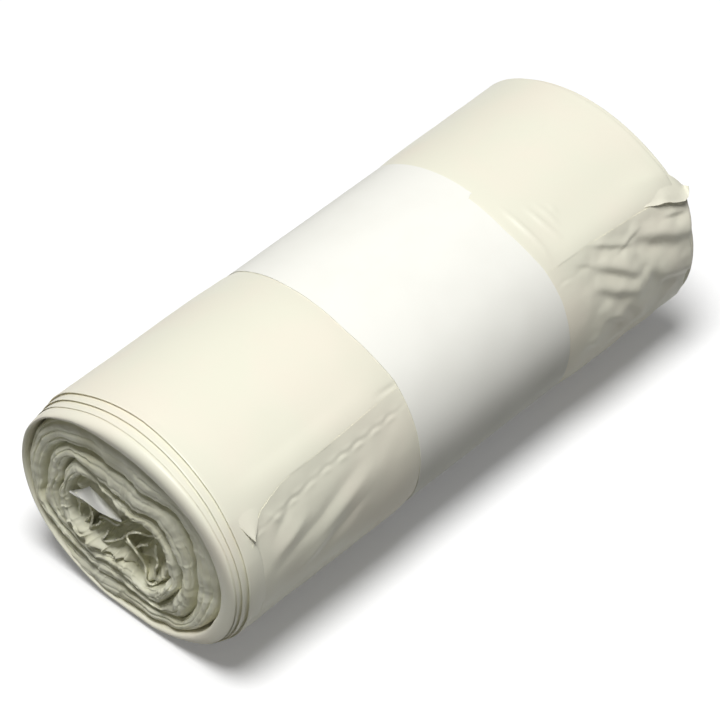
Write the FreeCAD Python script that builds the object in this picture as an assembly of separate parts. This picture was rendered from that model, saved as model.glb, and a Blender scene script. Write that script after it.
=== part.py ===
"""Bin bag roll: a strip of flat-folded bags wound on itself without a core, held by a paper band.

Frame: X along the roll, Y across it, Z up. The roll lies on the plane Z = 0 and the origin is
under its middle. The end at -X is the one whose turns are seen; the loose end of the outermost
bag lies on the -Y side. Lengths are in millimetres and angles in degrees.
"""
import FreeCAD, Part
import math
import os

from FreeCAD import Vector

# The roll
ROLL_LENGTH = 150.0  # a 600 mm wide bag folded in four
ROLL_WIDTH = 67.0  # across, wider than high because the soft roll settles
ROLL_HEIGHT = 55.0
REST_FLAT = 14.0  # width of the flat that the roll lies on
TOP_FLATNESS = 1.21  # radius of its oval section's upper and lower arcs, over half the width

# The outer turns at the ends, each set back behind the one inside it
NEAR_SETBACKS = (6.6, 5.2, 3.6)
FAR_SETBACKS = (1.8, 1.2, 0.6)
SETBACK_STEP = 0.5  # a folded bag's thickness, with the air in it
LIP_RADIUS = 1.6  # of the rounded rim
LIP_FACETS = 3
RIM_WIDTH = 3.4  # of the smooth outer turns, seen on the end

# The wavy turns inside the rim
RECESS_DEPTH = 2.6  # they lie this far behind the rim
GAP_DEPTH = 3.4  # of the dark gap between them
GAP_WIDTH = 0.8
TURN_PITCH = 3.0  # bags go round in bundles, so fewer lines show than there are turns
WAVE_HEIGHT = 0.8
WAVES_PER_TURN = (3, 5)
POINTS_PER_TURN = 20
FIRST_GAP_TURN = 0.5  # the gap starts this many turns from the hollow
LAST_GAP_TURN = 1.0  # and ends this many turns from the rim

# The flattened hollow in the middle
HOLLOW_LENGTH = 29.0
HOLLOW_WIDTH = 18.0
HOLLOW_TILT = 12.0  # its long axis rises to +Y by this
HOLLOW_SIDEWAYS = 4.0  # its middle lies this much to +Y of the roll's
HOLLOW_SAG = 4.5  # and this much lower
HOLLOW_DEPTH = 6.5
TONGUE_LENGTH = 11.0  # folded start of the strip, standing in the hollow of the near end
TONGUE_RISE = 3.5  # it stands this far above the hollow's middle
TONGUE_THICKNESS = 0.8
TONGUE_BACK = 1.0  # it stays this far behind the rim

# Crumpled folds that stand in the near hollow, drawn from its middle as (along Y, along Z)
FOLD_LINES = (
    ((-11.0, 0.5), (-7.5, 3.0), (-3.5, 2.5), (-2.0, 0.0), (-6.0, -2.5), (-6.5, -6.5)),
    ((-1.0, 1.0), (3.0, -3.5), (8.5, -3.5), (10.5, -0.8), (8.5, 2.0)),
)
FOLD_THICKNESS = 0.8
FOLD_BACK = 2.2

# The loose end of the outermost bag
LOOSE_EDGE_ANGLE = 43.0  # from the top, down the -Y side
LOOSE_EDGE_SKEW = 9.0  # the edge is lower by this at its -X end
LOOSE_STEP = 0.4  # its edge stands this proud
LOOSE_SPAN = 115.0  # modelled over this angle, down to near the flat
LOOSE_POINTS = 29
LOOSE_ROOT = 3.0  # how far its solid reaches into the roll
LOOSE_SINK = 1.2  # its lower end dips this far under the roll's surface
LOOSE_START = -66.0  # its corner at -X
LOOSE_CUT = 6.0  # that corner is cut off aslant by this

# The curled corner of the loose end at +X
CURL_RADIUS = 1.7
CURL_WIDTH = 4.5
CURL_THICKNESS = 0.5
CURL_ROOT = 1.0  # how far it reaches into the roll
CURL_TURN = 60

# The paper band
BAND_WIDTH = 48.2
BAND_CENTRE = 7.3
WAIST_DEPTH = 0.6  # the band pulls the film in by this
PAPER = 0.15
BAND_CLEARANCE = 0.05  # between the paper and the film, and at its edges
PAPER_OVERLAP = 14.0
OVERLAP_SHIFT = 0.4  # the overlapping end lies this much out of line

HALF_LENGTH = ROLL_LENGTH / 2
HALF_WIDTH = ROLL_WIDTH / 2
# an oval of four arcs cut by the table: its other sizes follow from the flat and the top arc
TOP_RADIUS = TOP_FLATNESS * HALF_WIDTH
CUT_HEIGHT = TOP_RADIUS - math.sqrt(TOP_RADIUS**2 - (REST_FLAT / 2) ** 2)
HALF_HEIGHT = (ROLL_HEIGHT + CUT_HEIGHT) / 2
CENTRE_HEIGHT = ROLL_HEIGHT - HALF_HEIGHT
TOP_DROP = TOP_RADIUS - HALF_HEIGHT  # the top arc's centre lies this far below the oval's
SIDE_RADIUS = (TOP_RADIUS**2 - TOP_DROP**2 - HALF_WIDTH**2) / (2 * (TOP_RADIUS - HALF_WIDTH))
SIDE_OUT = HALF_WIDTH - SIDE_RADIUS
JOIN_ANGLE = math.degrees(math.atan2(SIDE_OUT, TOP_DROP))  # where top and side arcs meet
BAND_START = BAND_CENTRE - BAND_WIDTH / 2
BAND_END = BAND_CENTRE + BAND_WIDTH / 2

# Folds of the loose end, aslant: where each crest would leave the loose edge (X), how far it
# drifts along X down to the lower end, its half width along X and its height
FAR_FOLDS = (
    (BAND_END - 12.0, 55.0, 2.6, 1.1),
    (BAND_END + 2.0, 55.0, 2.4, 0.8),
    (BAND_END + 13.0, 55.0, 2.6, 1.3),
    (BAND_END + 22.0, 55.0, 2.6, 1.3),
    (BAND_END + 32.0, 50.0, 2.4, 1.2),
)
NEAR_FOLDS = (
    (BAND_START + 55.0, -260.0, 9.0, 0.5),
    (BAND_START + 31.0, -260.0, 9.0, 0.5),
    (BAND_START + 6.0, -260.0, 9.0, 0.4),
)
FOLD_RISE = 0.12  # share of the span over which a fold rises from the edge
FOLD_FADE = (0.15, 0.6)  # shares between which it dies out


def outward(angle):
    """The section's outward direction, angle in degrees from the top towards +Y."""
    return Vector(0, math.sin(math.radians(angle)), math.cos(math.radians(angle)))


def oval_point(angle, inset=0.0, x=0.0):
    """The point of the roll's section that faces that way."""
    steepness = abs((angle + 180) % 360 - 180)
    above = 1 if steepness < 90 else -1
    if min(steepness, 180 - steepness) < JOIN_ANGLE:
        centre = Vector(x, 0, CENTRE_HEIGHT - TOP_DROP * above)
        return centre + outward(angle) * (TOP_RADIUS - inset)
    right = 1 if (angle % 360) < 180 else -1
    centre = Vector(x, SIDE_OUT * right, CENTRE_HEIGHT)
    return centre + outward(angle) * (SIDE_RADIUS - inset)


def strip_wire(one_side, other_side):
    """A closed outline from two rows of points that run the same way."""
    points = list(one_side) + list(reversed(other_side))
    return Part.makePolygon(points + points[:1])


def oval_face(inset):
    """The roll's section, an oval of four arcs cut flat below, inset from the outline."""
    joins = (-JOIN_ANGLE, JOIN_ANGLE, 180 - JOIN_ANGLE, 180 + JOIN_ANGLE, 360 - JOIN_ANGLE)
    edges = []
    for start, end in zip(joins, joins[1:]):
        points = [oval_point(angle, inset) for angle in (start, (start + end) / 2, end)]
        edges.append(Part.Arc(*points).toShape())
    below = Part.makeBox(2, 2 * ROLL_WIDTH, ROLL_HEIGHT)
    below.translate(Vector(-1, -ROLL_WIDTH, inset - ROLL_HEIGHT))
    return Part.Face(Part.Wire(edges)).cut(below).Faces[0]


def extrude(face, x_from, x_to):
    face = face.copy()
    face.translate(Vector(x_from, 0, 0))
    return face.extrude(Vector(x_to - x_from, 0, 0))


def stepped_end(setbacks, side):
    """The stepped edges of the outer turns at one end, slab on slab, and the rounded rim."""
    tip = HALF_LENGTH * side
    levels = [tip - setback * side for setback in setbacks] + [tip - LIP_RADIUS * side]
    slabs = []
    for layer, (start, end) in enumerate(zip(levels, levels[1:]), start=1):
        slabs.append(extrude(oval_face(SETBACK_STEP * layer), start, end))
    rings = []
    for i in range(LIP_FACETS + 1):
        turn = math.pi / 2 * i / LIP_FACETS
        inset = SETBACK_STEP * len(setbacks) + LIP_RADIUS * (1 - math.cos(turn))
        ring = oval_face(inset).OuterWire
        ring.translate(Vector(tip - LIP_RADIUS * (1 - math.sin(turn)) * side, 0, 0))
        rings.append(ring)
    return slabs + [Part.makeLoft(rings, True, True)]


def wound_body():
    """The roll without its loose end: the middle, the waist under the band and both ends."""
    start = -HALF_LENGTH + NEAR_SETBACKS[0]
    end = HALF_LENGTH - FAR_SETBACKS[0]
    middle = [
        extrude(oval_face(0), start, BAND_START),
        extrude(oval_face(WAIST_DEPTH), BAND_START, BAND_END),
        extrude(oval_face(0), BAND_END, end),
    ]
    slabs = middle + stepped_end(NEAR_SETBACKS, -1) + stepped_end(FAR_SETBACKS, 1)
    return slabs[0].multiFuse(slabs[1:])


def turn_count():
    room = (HALF_WIDTH + HALF_HEIGHT) / 2 - RIM_WIDTH - (HOLLOW_LENGTH + HOLLOW_WIDTH) / 4
    return room / TURN_PITCH


def tilted_point(y, z, share):
    """A point of an end's plane, about the hollow's middle (share 0) or the roll's (share 1)."""
    turn = math.radians(HOLLOW_TILT * (1 - share))
    return Vector(
        0,
        y * math.cos(turn) - z * math.sin(turn) + HOLLOW_SIDEWAYS * (1 - share),
        y * math.sin(turn) + z * math.cos(turn) + CENTRE_HEIGHT - HOLLOW_SAG * (1 - share),
    )


def winding_point(turns):
    """A point of the winding line, turns counted outwards from the hollow's edge."""
    share = turns / turn_count()
    angle = 2 * math.pi * turns
    long_half = HOLLOW_LENGTH / 2 * (1 - share) + (HALF_WIDTH - RIM_WIDTH) * share
    short_half = HOLLOW_WIDTH / 2 * (1 - share) + (HALF_HEIGHT - RIM_WIDTH) * share
    calm = math.sqrt(math.sin(math.pi * share))
    slow, quick = WAVES_PER_TURN
    wave = 0.6 * math.sin(slow * angle + 2.1 * turns) + 0.4 * math.sin(quick * angle - 1.3 * turns)
    y = (long_half + WAVE_HEIGHT * calm * wave) * math.cos(angle)
    z = (short_half + WAVE_HEIGHT * calm * wave) * math.sin(angle)
    return tilted_point(y, z, share)


def hollow_face():
    """The hollow's outline, a flattened round, tilted."""
    points = []
    for i in range(POINTS_PER_TURN):
        angle = 2 * math.pi * i / POINTS_PER_TURN
        y = HOLLOW_LENGTH / 2 * math.cos(angle)
        z = HOLLOW_WIDTH / 2 * math.sin(angle)
        points.append(tilted_point(y, z, 0))
    return Part.Face(Part.makePolygon(points + points[:1]))


def gap_wire():
    """The outline of the gap between the turns, one spiral from the hollow to the rim."""
    first, last = FIRST_GAP_TURN, turn_count() - LAST_GAP_TURN
    count = int((last - first) * POINTS_PER_TURN)
    step = 0.5 / POINTS_PER_TURN
    inner, outer = [], []
    for i in range(count + 1):
        turns = first + (last - first) * i / count
        along = winding_point(turns + step) - winding_point(turns - step)
        across = Vector(0, along.z, -along.y).normalize() * (GAP_WIDTH / 2)
        outer.append(winding_point(turns) + across)
        inner.append(winding_point(turns) - across)
    return strip_wire(outer, inner)


def end_opening(side):
    """What is open at one end: the recess inside the rim and the hollow in the middle."""
    tip = HALF_LENGTH * side
    recess = extrude(oval_face(RIM_WIDTH), tip, tip - RECESS_DEPTH * side)
    return [recess, extrude(hollow_face(), tip, tip - HOLLOW_DEPTH * side)]


def with_gap(roll, side):
    """The roll with the spiral gap sunk into the floor of one recess.

    The gap's long walls are sewn to the faces round them, which is far quicker than a cut.
    """
    level = (HALF_LENGTH - RECESS_DEPTH) * side
    level_faces = [face for face in roll.Faces if abs(face.CenterOfMass.x - level) < 1e-3]
    floor = max(level_faces, key=lambda face: face.Area)
    mouth = gap_wire()
    mouth.translate(Vector(level, 0, 0))
    drop = Vector(-GAP_DEPTH * side, 0, 0)
    bottom = mouth.copy()
    bottom.translate(drop)
    open_floor = Part.Face(floor.Wires + [mouth])
    open_floor.validate()
    faces = [face for face in roll.Faces if not face.isSame(floor)]
    faces += [open_floor, Part.Face(bottom)] + mouth.extrude(drop).Faces
    skin = Part.Compound(faces)
    skin.sewShape()
    solid = Part.Solid(skin.Shells[0])
    if solid.Volume < 0:
        solid.reverse()
    return solid


def tongue():
    """The folded start of the strip, a pointed flap that stands in the near hollow."""
    tip = -HALF_LENGTH + TONGUE_BACK
    floor = -HALF_LENGTH + HOLLOW_DEPTH + 1.0
    outer = tilted_point(TONGUE_LENGTH, TONGUE_RISE, 0)
    inner = tilted_point(0, TONGUE_RISE, 0)
    corners = [
        outer + Vector(floor, 0, 0),
        outer + Vector(tip, 0, 0),
        inner + Vector(tip + HOLLOW_DEPTH / 3, 0, 0),
        inner + Vector(floor, 0, 0),
    ]
    face = Part.Face(Part.makePolygon(corners + corners[:1]))
    across = tilted_point(0, TONGUE_THICKNESS, 0) - tilted_point(0, 0, 0)
    return face.extrude(across)


def fold_wall(line):
    """A thin wall that follows a drawn line and stands on the floor of the near hollow."""
    tip = -HALF_LENGTH + FOLD_BACK
    floor = -HALF_LENGTH + HOLLOW_DEPTH + 1.0
    middle = tilted_point(0, 0, 0)
    points = [middle + Vector(0, y, z) for y, z in line]
    rows = [], []
    for before, point, after in zip(points[:1] + points, points, points[1:] + points[-1:]):
        along = (after - before).normalize() * (FOLD_THICKNESS / 2)
        across = Vector(0, along.z, -along.y)
        rows[0].append(point + across)
        rows[1].append(point - across)
    return extrude(Part.Face(strip_wire(*rows)), tip, floor)


def fold_height(x, share, folds, band_edge):
    """How far the loose end stands off the roll, share counted from its edge downwards."""
    height = 0.0
    for start, drift, half_width, crest in folds:
        centre = start + drift * share
        height += crest * math.exp(-(((x - centre) / half_width) ** 2))
    calm = min(1.0, abs(x - band_edge) / 6.0)
    rise = 0.35 + 0.65 * min(1.0, share / FOLD_RISE)
    fade_from, fade_to = FOLD_FADE
    fade = max(0.0, min(1.0, (fade_to - share) / (fade_to - fade_from)))
    return height * calm * rise * fade


def loose_section(x, folds, band_edge):
    """One section of the loose end, from its edge round to under the roll."""
    skew_share = max(0.0, (BAND_START - x) / (BAND_START - LOOSE_START))
    edge_angle = LOOSE_EDGE_ANGLE + LOOSE_EDGE_SKEW * skew_share**2
    skin, root = [], []
    for k in range(LOOSE_POINTS):
        share = k / (LOOSE_POINTS - 1)
        angle = -edge_angle - (LOOSE_SPAN - LOOSE_EDGE_SKEW * skew_share**2) * share
        sink = LOOSE_SINK * max(0.0, (share - 0.75) / 0.25)
        lift = LOOSE_STEP + fold_height(x, share, folds, band_edge) - sink
        skin.append(oval_point(angle, 0, x) + outward(angle) * lift)
        root.append(oval_point(angle, LOOSE_ROOT, x))
    return strip_wire(skin, root)


def loose_end(x_from, x_to, folds, band_edge, stations):
    """The loose end on one side of the band, as a closed solid that reaches into the roll."""
    wires = []
    for i in range(stations):
        x = x_from + (x_to - x_from) * i / (stations - 1)
        wires.append(loose_section(x, folds, band_edge))
    return Part.makeLoft(wires, True, True)


def corner_cut():
    """The wedge that takes the loose end's corner off at -X, aslant down the side."""
    low = LOOSE_START + LOOSE_CUT
    corners = [
        Vector(LOOSE_START - 1, 0, CENTRE_HEIGHT + HALF_HEIGHT),
        Vector(LOOSE_START, 0, CENTRE_HEIGHT + HALF_HEIGHT * 0.55),
        Vector(low, 0, 0),
        Vector(LOOSE_START - 1, 0, -1),
    ]
    face = Part.Face(Part.makePolygon(corners + corners[:1]))
    return face.extrude(Vector(0, -ROLL_WIDTH, 0))


def curled_corner():
    """The corner of the loose end at +X, rolled up on itself."""
    up = outward(-LOOSE_EDGE_ANGLE)
    down = Vector(0, -up.z, up.y)
    root = oval_point(-LOOSE_EDGE_ANGLE - 5, CURL_ROOT, HALF_LENGTH - CURL_WIDTH)
    hub = root + up * (CURL_RADIUS - CURL_THICKNESS)
    outer, inner = [], []
    for angle in range(180, -CURL_TURN + 1, -CURL_TURN // 2):
        turn = math.radians(angle)
        direction = up * math.cos(turn) + down * math.sin(turn)
        outer.append(hub + direction * CURL_RADIUS)
        inner.append(hub + direction * (CURL_RADIUS - CURL_THICKNESS))
    return Part.Face(strip_wire(outer, inner)).extrude(Vector(CURL_WIDTH, 0, 0))


def build_roll():
    """The whole roll of film as one solid."""
    near = loose_end(LOOSE_START, BAND_START, NEAR_FOLDS, BAND_START, 9)
    far = loose_end(BAND_END, HALF_LENGTH - 1.0, FAR_FOLDS, BAND_END, 18)
    roll = wound_body().multiFuse([near.cut(corner_cut()), far, curled_corner()])
    roll = roll.cut(end_opening(-1) + end_opening(1))
    folds = [fold_wall(line) for line in FOLD_LINES]
    roll = roll.multiFuse([tongue()] + folds).Solids[0]
    return with_gap(with_gap(roll, -1), 1)


def build_band():
    """The paper band: a strip once round the roll with its ends lapped over the top."""
    start = BAND_START + BAND_CLEARANCE
    end = BAND_END - BAND_CLEARANCE
    inset = WAIST_DEPTH - BAND_CLEARANCE
    inside = extrude(oval_face(inset), start, end)
    strip = extrude(oval_face(inset - PAPER), start, end - OVERLAP_SHIFT)
    lap = extrude(oval_face(inset - 2 * PAPER), start + OVERLAP_SHIFT, end)
    lap_room = Part.makeBox(BAND_WIDTH, PAPER_OVERLAP, ROLL_HEIGHT)
    lap_room.translate(Vector(BAND_START, 0, CENTRE_HEIGHT))
    return strip.fuse(lap.common(lap_room)).cut(inside).Solids[0]


def main():
    os.makedirs("parts", exist_ok=True)
    for name, shape in (("bag_roll", build_roll()), ("paper_band", build_band())):
        shape.exportStep(f"parts/{name}.step")
        print(name, shape.isValid(), round(shape.Volume), "mm3")


main()
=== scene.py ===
# %% [markdown]
# # A roll of bin bags, from a plain frame to a finished look
# The roll lies on its side. One long strip of flat-folded bags is wound on itself without a
# core, and a white paper band holds it. The frame brings the plain solids of the CAD model.
# This file makes a finer skin for each of them: the outer turn of film with its ripples, the
# loose end with its folds, the wavy turns at both ends and the paper band.

import math

import bpy
import numpy as np
from mathutils import Matrix, Vector


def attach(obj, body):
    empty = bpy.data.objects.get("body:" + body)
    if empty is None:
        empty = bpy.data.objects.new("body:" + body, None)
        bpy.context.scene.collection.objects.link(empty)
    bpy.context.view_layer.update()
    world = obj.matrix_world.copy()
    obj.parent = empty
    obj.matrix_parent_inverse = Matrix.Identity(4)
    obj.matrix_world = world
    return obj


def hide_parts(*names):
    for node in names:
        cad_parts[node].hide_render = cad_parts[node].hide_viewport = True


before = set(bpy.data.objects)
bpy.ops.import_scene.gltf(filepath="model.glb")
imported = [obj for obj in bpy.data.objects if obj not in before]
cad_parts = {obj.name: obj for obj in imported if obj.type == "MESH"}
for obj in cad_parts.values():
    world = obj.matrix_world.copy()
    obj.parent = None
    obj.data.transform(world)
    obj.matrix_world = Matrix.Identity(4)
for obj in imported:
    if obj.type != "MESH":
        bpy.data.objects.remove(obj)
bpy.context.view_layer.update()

# %% [markdown]
# ## Camera
# The camera stands in front of the near end, to its left, and looks down at about 44 degrees.
# A long lens from almost a metre away gives the slight perspective of a product picture.
# It is set by the angle round the roll, the height above it and the distance.

# %% Camera
MM = 0.001
AZIMUTH = math.radians(-46.82)
ELEVATION = math.radians(44.25)
DISTANCE = 974.3 * MM
LENS = 219.2
SHIFT_RIGHT, SHIFT_UP = -1.19 * MM, -2.13 * MM  # of the camera, to the picture's framing

back = Vector((
    math.sin(AZIMUTH) * math.cos(ELEVATION),
    -math.cos(AZIMUTH) * math.cos(ELEVATION),
    math.sin(ELEVATION),
))
right = Vector((math.cos(AZIMUTH), math.sin(AZIMUTH), 0))
up = back.cross(right)
target = Vector((0, 0, 27.5 * MM))
place = target + back * DISTANCE + right * SHIFT_RIGHT + up * SHIFT_UP

bpy.ops.object.camera_add(location=place)
camera = bpy.context.object
camera.rotation_euler = Matrix((right, up, back)).transposed().to_euler()
camera.data.lens = LENS
camera.data.sensor_width = 36
camera.data.clip_start = 0.05
bpy.context.scene.camera = camera
print("camera at", [round(value, 3) for value in place])

# %% [markdown]
# ## The roll's section
# Every piece here follows one oval, flattened by the roll's own weight. It is made of four
# arcs that run smoothly into each other, with a flat below. A place on it is given by the
# direction it faces, counted in degrees from the top towards +Y, and lengths are in
# millimetres until a mesh is written.

# %% The oval section
TOP_RADIUS, SIDE_RADIUS = 40.54, 25.49
TOP_CENTRE, SIDE_CENTRE, LOW_CENTRE = 14.46, 27.19, 39.92
SIDE_OUT = 8.01
JOIN_ANGLE = 32.2
HALF_LENGTH = 75.0


def oval(angle, lift=0.0):
    """Points (y, z) of the section, moved outwards by lift; nothing sinks through the floor."""
    turned = (np.asarray(angle) + 180) % 360 - 180
    steep = np.abs(turned)
    direction = np.radians(turned)
    on_top = steep < JOIN_ANGLE
    below = steep > 180 - JOIN_ANGLE
    radius = np.where(on_top | below, TOP_RADIUS, SIDE_RADIUS)
    centre_y = np.where(on_top | below, 0.0, SIDE_OUT * np.sign(turned))
    centre_z = np.where(on_top, TOP_CENTRE, np.where(below, LOW_CENTRE, SIDE_CENTRE))
    y = centre_y + np.sin(direction) * (radius + lift)
    z = centre_z + np.cos(direction) * (radius + lift)
    return y, np.maximum(z, np.maximum(-np.asarray(lift), 0.0))


ARC_TOP, ARC_SIDE = math.radians(TOP_RADIUS), math.radians(SIDE_RADIUS)
ARC_JOIN = JOIN_ANGLE * ARC_TOP


def angle_down(s):
    """The direction faced s millimetres below the roll's top line, down the -Y side."""
    low = ARC_JOIN + (180 - 2 * JOIN_ANGLE) * ARC_SIDE
    side = JOIN_ANGLE + (s - ARC_JOIN) / ARC_SIDE
    under = 180 - JOIN_ANGLE + (s - low) / ARC_TOP
    return -np.where(s < ARC_JOIN, s / ARC_TOP, np.where(s < low, side, under))


def length_down(angle):
    """The other way round: millimetres below the top line for a direction on the -Y side."""
    down = np.maximum(-((np.asarray(angle) + 180) % 360 - 180), 0.0)
    side = ARC_JOIN + (down - JOIN_ANGLE) * ARC_SIDE
    return np.where(down < JOIN_ANGLE, down * ARC_TOP, side)


print("the loose edge, 28 mm down, faces", round(float(angle_down(28.0)), 1), "degrees")

# %% [markdown]
# ## Helpers for soft sheets
# Film and paper are sheets. A sheet starts as a grid primitive, and each of its points is
# then laid on the roll by a rule that says where that point of the sheet lies. Modelling it
# by such a rule keeps the stepped edges, folds and ripples at their measured places.

# %% Make a sheet from a grid
def deselect_all():
    """Leaves edit mode and clears the selection, since an operator acts on all of it."""
    if bpy.context.object and bpy.context.object.mode != "OBJECT":
        bpy.ops.object.mode_set(mode="OBJECT")
    bpy.ops.object.select_all(action="DESELECT")


def make_sheet(name, columns, rows, rule):
    """A grid of columns by rows whose points rule(u, v) lays out, in millimetres."""
    deselect_all()
    bpy.ops.mesh.primitive_grid_add(x_subdivisions=columns, y_subdivisions=rows, size=2)
    sheet = bpy.context.object
    sheet.name = sheet.data.name = name
    count = len(sheet.data.vertices)
    flat = np.empty(count * 3)
    sheet.data.vertices.foreach_get("co", flat)
    flat = flat.reshape(count, 3)
    x, y, z = rule((flat[:, 0] + 1) / 2, (flat[:, 1] + 1) / 2)
    laid = np.stack(np.broadcast_arrays(x, y, z), axis=1) * MM
    sheet.data.vertices.foreach_set("co", laid.ravel())
    sheet.data.update()
    return sheet


def select_only(sheet):
    """Selects one sheet and makes it the active object."""
    deselect_all()
    sheet.select_set(True)
    bpy.context.view_layer.objects.active = sheet


def edit_all(sheet):
    """Opens one sheet in edit mode with all of it selected."""
    select_only(sheet)
    bpy.ops.object.mode_set(mode="EDIT")
    bpy.ops.mesh.select_all(action="SELECT")


def shade_smooth(sheet, sharp_angle=50):
    """Shades a sheet smooth, except where it bends by more than the angle."""
    select_only(sheet)
    bpy.ops.object.shade_smooth_by_angle(angle=math.radians(sharp_angle))


def close_and_smooth(sheet, fill_holes=True, sharp_angle=60):
    """Merges seams, fills what is open, turns the faces outwards and shades smooth."""
    edit_all(sheet)
    bpy.ops.mesh.remove_doubles(threshold=0.002 * MM)
    if fill_holes:
        bpy.ops.mesh.select_all(action="DESELECT")
        bpy.ops.mesh.select_non_manifold()
        bpy.ops.mesh.edge_face_add()
        bpy.ops.mesh.select_all(action="SELECT")
    bpy.ops.mesh.normals_make_consistent(inside=False)
    shade_smooth(sheet, sharp_angle)


def thicken(sheet, thickness):
    """Gives an open sheet its thickness, inwards from the side its faces point to."""
    solidify = sheet.modifiers.new("thickness", "SOLIDIFY")
    solidify.thickness = thickness * MM
    solidify.offset = -1
    bpy.context.view_layer.objects.active = sheet
    bpy.ops.object.modifier_apply(modifier=solidify.name)


def report(piece):
    """Prints how many triangles a piece has."""
    piece.data.calc_loop_triangles()
    print(piece.name, len(piece.data.loop_triangles), "triangles")


# %% Soft unevenness and creases
NOISE_ROWS = 64


def unevenness(across, around, seed, cells=32):
    """Smooth random heights from -1 to 1; around repeats after the given number of cells."""
    table = np.random.default_rng(seed).uniform(-1, 1, (NOISE_ROWS, cells))
    i, j = np.floor(across).astype(int), np.floor(around).astype(int)
    p, q = across - i, around - j
    p, q = p * p * (3 - 2 * p), q * q * (3 - 2 * q)
    row, next_row = i % NOISE_ROWS, (i + 1) % NOISE_ROWS
    column, next_column = j % cells, (j + 1) % cells
    low = table[row, column] * (1 - q) + table[row, next_column] * q
    high = table[next_row, column] * (1 - q) + table[next_row, next_column] * q
    return low * (1 - p) + high * p


def along_path(x, s, path):
    """Distance from a path of (x, s) points, positive below it, and the share of it passed."""
    nearest = np.full(np.shape(x), 1e9)
    passed = np.zeros(np.shape(x))
    start = 0.0
    for (xa, sa), (xb, sb) in zip(path, path[1:]):
        length = math.dist((xa, sa), (xb, sb))
        along = ((x - xa) * (xb - xa) + (s - sa) * (sb - sa)) / length**2
        along = np.clip(along, 0, 1)
        away = np.hypot(x - xa - along * (xb - xa), s - sa - along * (sb - sa))
        below = np.sign((xb - xa) * (s - sa) - (sb - sa) * (x - xa))
        closer = away < np.abs(nearest)
        nearest = np.where(closer, away * np.where(below == 0, 1, below), nearest)
        passed = np.where(closer, start + along * length, passed)
        start += length
    return nearest, passed / start


def crease(x, s, path, width, height):
    """A ridge, or a valley where height is negative, along a path."""
    away, passed = along_path(x, s, path)
    taper = np.sin(math.pi * np.clip(passed, 0, 1)) ** 1.1
    return height * taper * np.exp(-((np.abs(away) / width) ** 1.6))


def fold_edge(x, s, path, width, height, reach):
    """Film that swells towards a path from above and drops off below it, as at a fold."""
    away, passed = along_path(x, s, path)
    taper = np.sin(math.pi * np.clip(passed, 0, 1)) ** 0.8
    drop = -np.tanh(2 * away / width) * np.exp(-((np.abs(away) / reach) ** 1.5))
    return height * taper * drop


def smoothstep(low, high, value):
    """0 at low, 1 at high, with a soft start and end."""
    share = np.clip((value - low) / (high - low), 0, 1)
    return share * share * (3 - 2 * share)


# %% [markdown]
# ## Where the paper band lies
# The band isn't cut quite straight and its lapped ends are a little out of line, so its edges
# waver along the roll. The film is drawn in under it and swells out again beside it. Both
# pieces need these lines, so they come first.

# %% The band's wavering edges
BAND_RIGHT = (
    (-180, 32.0), (-100, 31.0), (-60, 31.8), (-40, 31.5), (-20, 30.2), (-3.6, 30.6),
    (-2.6, 32.3), (10, 32.6), (45, 33.4), (90, 33.2), (180, 32.0),
)
BAND_LEFT = (
    (-180, -17.2), (-100, -18.0), (-40, -16.7), (-15, -17.7), (10, -16.8), (45, -14.6),
    (90, -15.0), (180, -17.2),
)
FILM_UNDER_BAND = -0.6
PUFF_WIDTH = 3.2


def table_value(angle, table):
    """A measured value for each direction, straight between the measured ones."""
    angles, values = zip(*table)
    return np.interp((np.asarray(angle) + 180) % 360 - 180, angles, values)


def band_pull(x, angle):
    """How far the film is drawn in by the band: most under it, less and less beside it."""
    outside = np.maximum(x - table_value(angle, BAND_RIGHT), table_value(angle, BAND_LEFT) - x)
    return FILM_UNDER_BAND * np.exp(-np.maximum(outside, 0) / PUFF_WIDTH)


band_on_top = float(table_value(0, BAND_RIGHT) - table_value(0, BAND_LEFT))
print("the band is", round(band_on_top, 1), "mm wide on top; the film sinks", -FILM_UNDER_BAND)

# %% [markdown]
# ## The outer turns of film
# The skin is one closed tube. Along its length it runs over the smooth middle, down over the
# edges of the outer turns at each end, round the soft rim and into the recess. Each edge of
# a turn has a small undercut, because on the real roll that is what draws a fine dark line.
# Ripples stand beside the band, where the paper gathers the film.

# %% Stepped edges and rims
NEAR_EDGES = (-68.2, -70.4, -72.4)  # where the outer turns end along the roll, on top
NEAR_DRIFTS = (2.0, 1.7, 1.2)  # how strongly each of them follows the drift
# (direction faced, how far the edges drift outwards there)
EDGE_DRIFT = (
    (-180, 1.0), (-140, 1.6), (-100, 1.7), (-70, 1.3), (-45, 1.0), (-20, 0.4), (0, 0.0),
    (60, -0.3), (120, 0.2), (180, 1.0),
)
# (direction faced, how wide the rim is there)
NEAR_RIM = (
    (-180, 2.2), (-158, 2.6), (-144, 3.8), (-120, 5.3), (-97, 5.5), (-77, 5.6), (-34, 5.4),
    (-12, 5.6), (7, 4.9), (24, 3.2), (38, 2.4), (59, 2.2), (84, 2.3), (109, 2.2),
    (133, 2.0), (152, 2.0), (180, 2.2),
)
FAR_EDGES = (73.0, 73.7, 74.4)
TURN_STEPS = (0.5, 0.45, 0.22)
# one turn's edge: how far along the roll from the edge, and the share of the step gone down
EDGE_SHAPE = (
    (1.3, 0.0), (0.5, -0.1), (0.12, -0.02), (0.0, 0.12), (0.08, 0.25), (0.9, 0.35), (0.9, 1.05),
    (0.1, 1.12), (-0.25, 1.02),
)
RIM_SHAPE = (0.12, 0.27, 0.42, 0.58, 0.74, 0.9, 1.0)  # shares of its outer quarter round
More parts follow.
